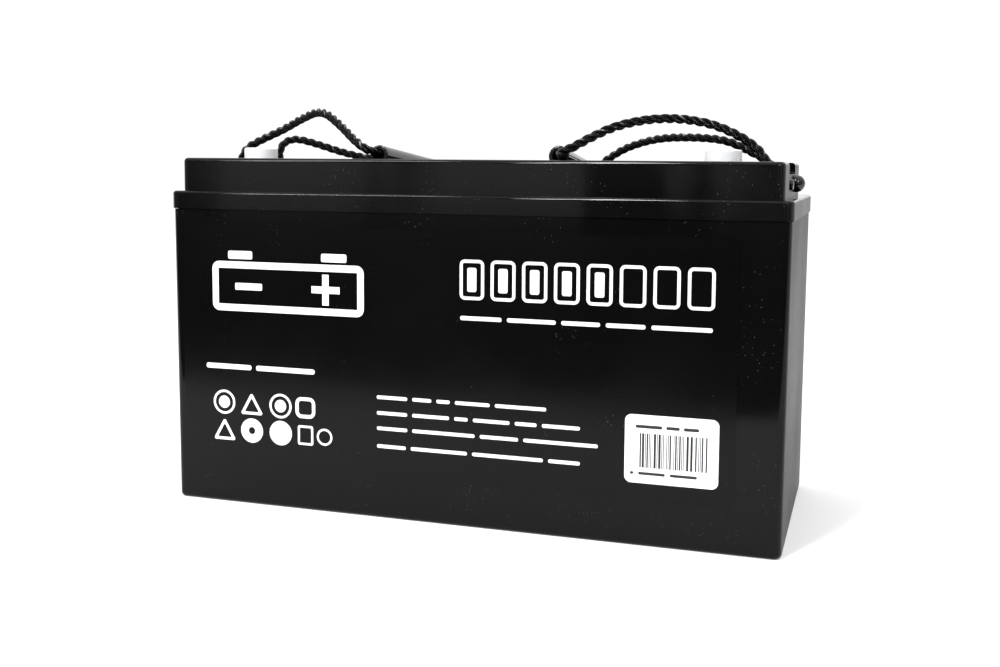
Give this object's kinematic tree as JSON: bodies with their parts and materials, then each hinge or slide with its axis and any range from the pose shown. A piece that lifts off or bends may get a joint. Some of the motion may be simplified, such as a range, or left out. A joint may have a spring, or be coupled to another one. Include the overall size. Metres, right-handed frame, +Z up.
{
  "type": "deep cycle battery",
  "caption": "Sealed lead-acid deep cycle battery with two folding rope handles, capped bolt terminals and its cells, plates, straps and vents inside.",
  "frame": {"origin": "centre of the base, on the floor", "axes": "+X along the length, to the right seen from the label side; +Y from the label side to the back; +Z up"},
  "size_m": [0.407, 0.173, 0.2648],
  "materials": {
    "case_plastic": "glossy black moulded ABS",
    "lid_plastic": "glossy black moulded ABS",
    "sealing_resin": "dark sealing resin",
    "vent_plastic": "black moulded ABS",
    "valve_rubber": "black rubber",
    "foam_pad": "dark foam",
    "lead": "cast lead alloy",
    "positive_paste": "brown lead dioxide paste on a lead grid",
    "negative_paste": "grey spongy lead on a lead grid",
    "glass_mat": "white glass fibre mat",
    "terminal_metal": "tinned brass insert terminal",
    "cap_plastic": "translucent white plastic",
    "rope_cord": "glossy black twisted cord",
    "grip_plastic": "glossy black tube",
    "knob_plastic": "black plastic",
    "label_film": "black satin film",
    "code_paper": "white sticker"
  },
  "bodies": {
    "root": {"container": "case_plastic", "lid": "lid_plastic", "lid_seal": "sealing_resin", "vent_cover": "vent_plastic", "relief_valves": "valve_rubber", "valve_pads": "foam_pad", "intercell_welds": "lead", "terminal_seals": "valve_rubber", "rope_knobs": "knob_plastic", "rope_plugs": "knob_plastic", "front_label": "label_film", "code_label": "code_paper", "terminal_left": "terminal_metal", "terminal_right": "terminal_metal", "rope_ends_left": "rope_cord", "rope_ends_right": "rope_cord", "positive_plates_1": "positive_paste", "negative_plates_1": "negative_paste", "separators_1": "glass_mat", "positive_strap_1": "lead", "negative_strap_1": "lead", "positive_plates_2": "positive_paste", "negative_plates_2": "negative_paste", "separators_2": "glass_mat", "positive_strap_2": "lead", "negative_strap_2": "lead", "positive_plates_3": "positive_paste", "negative_plates_3": "negative_paste", "separators_3": "glass_mat", "positive_strap_3": "lead", "negative_strap_3": "lead", "positive_plates_4": "positive_paste", "negative_plates_4": "negative_paste", "separators_4": "glass_mat", "positive_strap_4": "lead", "negative_strap_4": "lead", "positive_plates_5": "positive_paste", "negative_plates_5": "negative_paste", "separators_5": "glass_mat", "positive_strap_5": "lead", "negative_strap_5": "lead", "positive_plates_6": "positive_paste", "negative_plates_6": "negative_paste", "separators_6": "glass_mat", "positive_strap_6": "lead", "negative_strap_6": "lead"},
    "left_handle": {"rope_loop_left": "rope_cord"},
    "right_handle": {"rope_loop_right": "rope_cord"},
    "left_grip": {"grip_left": "grip_plastic"},
    "right_grip": {"grip_right": "grip_plastic"},
    "left_cap": {"terminal_cap_left": "cap_plastic"},
    "right_cap": {"terminal_cap_right": "cap_plastic"}
  },
  "joints": [
    {"name": "left_handle_swing", "type": "hinge", "parent": "root", "child": "left_handle", "pos_m": [-0.1845, 0, 0.23], "axis": [0, -1, 0], "range_deg": [0, 110]},
    {"name": "right_handle_swing", "type": "hinge", "parent": "root", "child": "right_handle", "pos_m": [0.1845, 0, 0.23], "axis": [0, 1, 0], "range_deg": [0, 110]},
    {"name": "left_grip_spin", "type": "hinge", "parent": "left_handle", "child": "left_grip", "pos_m": [-0.064, -0.008, 0.22932], "axis": [0, 0.9961, -0.0886], "continuous": true},
    {"name": "right_grip_spin", "type": "hinge", "parent": "right_handle", "child": "right_grip", "pos_m": [0.05445, -0.008, 0.22932], "axis": [-0.0714, 0.9935, -0.0884], "continuous": true},
    {"name": "left_cap_lift", "type": "slide", "parent": "root", "child": "left_cap", "axis": [0, 0, 1], "range_m": [0, 0.02]},
    {"name": "right_cap_lift", "type": "slide", "parent": "root", "child": "right_cap", "axis": [0, 0, 1], "range_m": [0, 0.02]}
  ]
}
